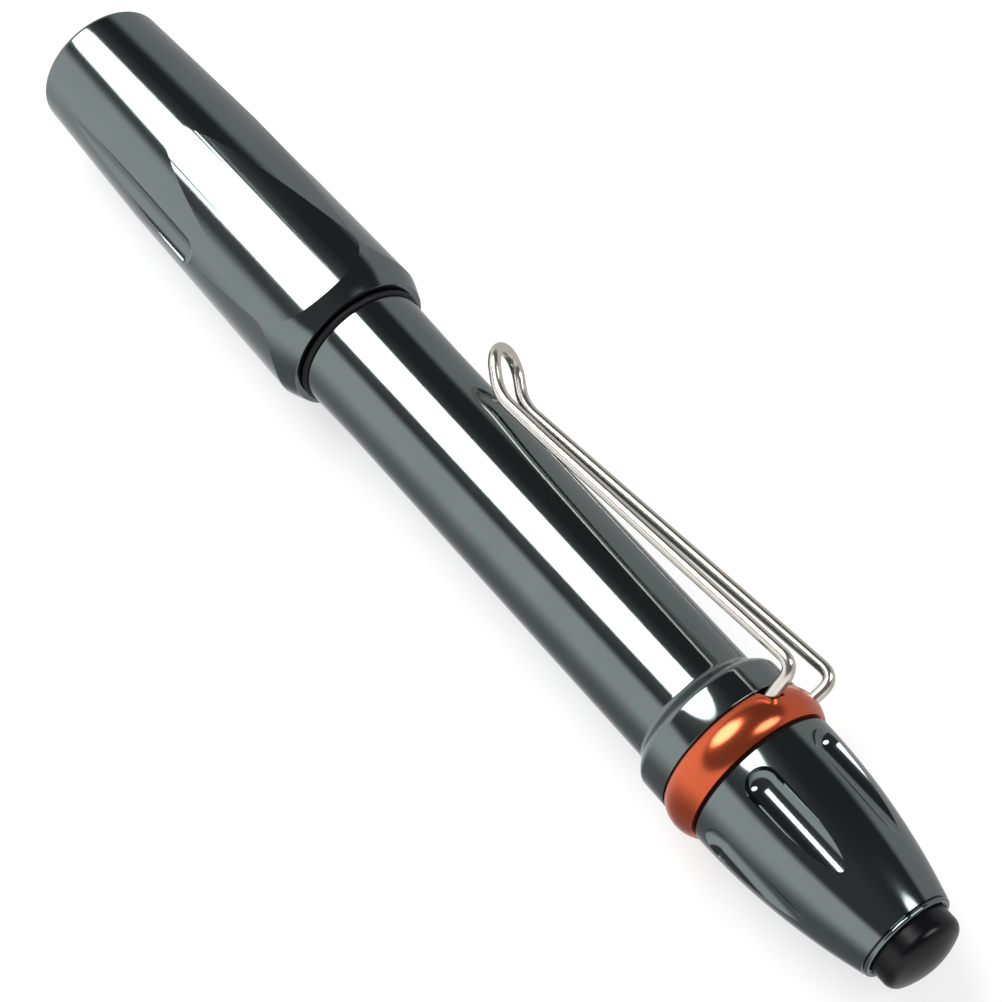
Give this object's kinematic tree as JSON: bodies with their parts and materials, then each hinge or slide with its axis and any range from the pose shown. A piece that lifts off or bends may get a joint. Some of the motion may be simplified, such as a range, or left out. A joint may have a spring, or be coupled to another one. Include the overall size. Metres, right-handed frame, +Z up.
{
  "type": "penlight",
  "caption": "Slim metal penlight with a fluted screw-on head, a springy wire pocket clip held by a coloured ring, and a screw-on tail cap with a rubber push button.",
  "frame": {"origin": "centre of the bezel's front face, on the light's axis", "axes": "+X along the axis from the bezel to the tail button, +Z up with the light lying on a facet of its head and on its clip ring, the clip standing out on the +Y side"},
  "size_m": [0.125, 0.0197, 0.0177],
  "materials": {
    "gunmetal": "polished dark chrome",
    "orange_metal": "satin orange anodising",
    "nickel_wire": "bright nickel",
    "black_rubber": "matt",
    "clear_lens": "polished",
    "silvered": "polished",
    "brass": "machined",
    "led_dome": "clear",
    "led_phosphor": "matt",
    "board_white": "white solder mask",
    "board_green": "solder mask",
    "white_plastic": "moulded",
    "black_plastic": "moulded",
    "cell_jacket": "plain shrink sleeve",
    "bright_steel": "plated"
  },
  "bodies": {
    "body": {"body_tube": "gunmetal", "led_dome": "led_dome", "led_package": "led_phosphor", "led_board": "board_white", "led_pill": "brass", "driver_board": "board_green", "driver_insulator": "white_plastic", "contact_stud": "brass", "front_cell": "cell_jacket", "rear_cell": "cell_jacket", "cell_caps": "bright_steel", "cell_plates": "bright_steel", "clip_ring": "orange_metal", "clip_anchor": "nickel_wire"},
    "neck_seal": {"neck_oring": "black_rubber"},
    "head": {"head_shell": "gunmetal", "lens": "clear_lens", "lens_seal": "black_rubber", "reflector": "silvered", "reflector_ring": "brass"},
    "cap_seal": {"tail_gasket": "black_rubber"},
    "tail": {"tail_cap": "gunmetal", "switch_retainer": "brass", "switch_board": "board_green", "switch_housing": "black_plastic", "snap_contact": "bright_steel", "battery_spring": "bright_steel"},
    "button": {"rubber_boot": "black_rubber", "switch_plunger": "white_plastic"},
    "clip": {"clip_arm": "nickel_wire"}
  },
  "joints": [
    {"name": "head_draw", "type": "slide", "parent": "body", "child": "neck_seal", "axis": [-1, 0, 0], "range_m": [0, 0.006]},
    {"name": "head_turn", "type": "hinge", "parent": "neck_seal", "child": "head", "pos_m": [0.022, 0, 0], "axis": [-1, 0, 0], "range_deg": [0, 2160]},
    {"name": "cap_draw", "type": "slide", "parent": "body", "child": "cap_seal", "axis": [1, 0, 0], "range_m": [0, 0.006]},
    {"name": "cap_turn", "type": "hinge", "parent": "cap_seal", "child": "tail", "pos_m": [0.11, 0, 0], "axis": [1, 0, 0], "range_deg": [0, 2160]},
    {"name": "button_press", "type": "slide", "parent": "tail", "child": "button", "axis": [-1, 0, 0], "range_m": [0, 0.001], "stiffness_N_per_m": 3000},
    {"name": "clip_flex", "type": "hinge", "parent": "body", "child": "clip", "pos_m": [0.1, 0.00636, 0.00331], "axis": [0, 0.4617, -0.887], "range_deg": [0, 4], "stiffness_Nm_per_rad": 1.5}
  ],
  "couplings": [
    {"joint": "head_draw", "follows": "head_turn", "m_per_rad": 0.00015915},
    {"joint": "cap_draw", "follows": "cap_turn", "m_per_rad": 0.00015915}
  ]
}
